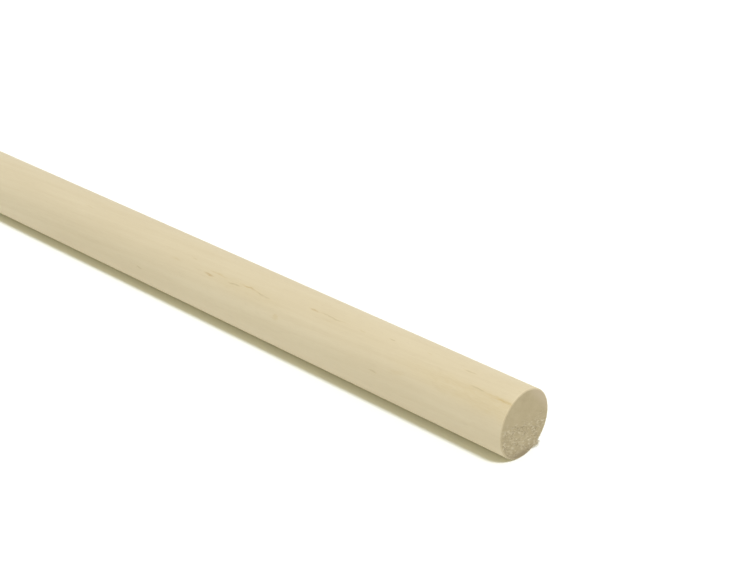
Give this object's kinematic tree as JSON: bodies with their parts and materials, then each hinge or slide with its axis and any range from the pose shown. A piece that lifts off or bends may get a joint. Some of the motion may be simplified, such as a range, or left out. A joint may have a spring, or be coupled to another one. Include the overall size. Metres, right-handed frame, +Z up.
{
  "type": "wooden dowel rod",
  "caption": "Straight round rod of pale sanded hardwood, sawn square at both ends, for pegs, axles, rails and stock.",
  "frame": {"origin": "on the rod's axis, halfway between the two sawn ends", "axes": "+X along the rod, +Z up as the rod lies, +Y across it"},
  "size_m": [0.3048, 0.019, 0.019],
  "materials": {
    "bare_wood": "bare pale hardwood, sanded matte on the round and left saw-rough on the end grain"
  },
  "bodies": {
    "root": {"dowel_rod": "bare_wood"}
  },
  "joints": []
}
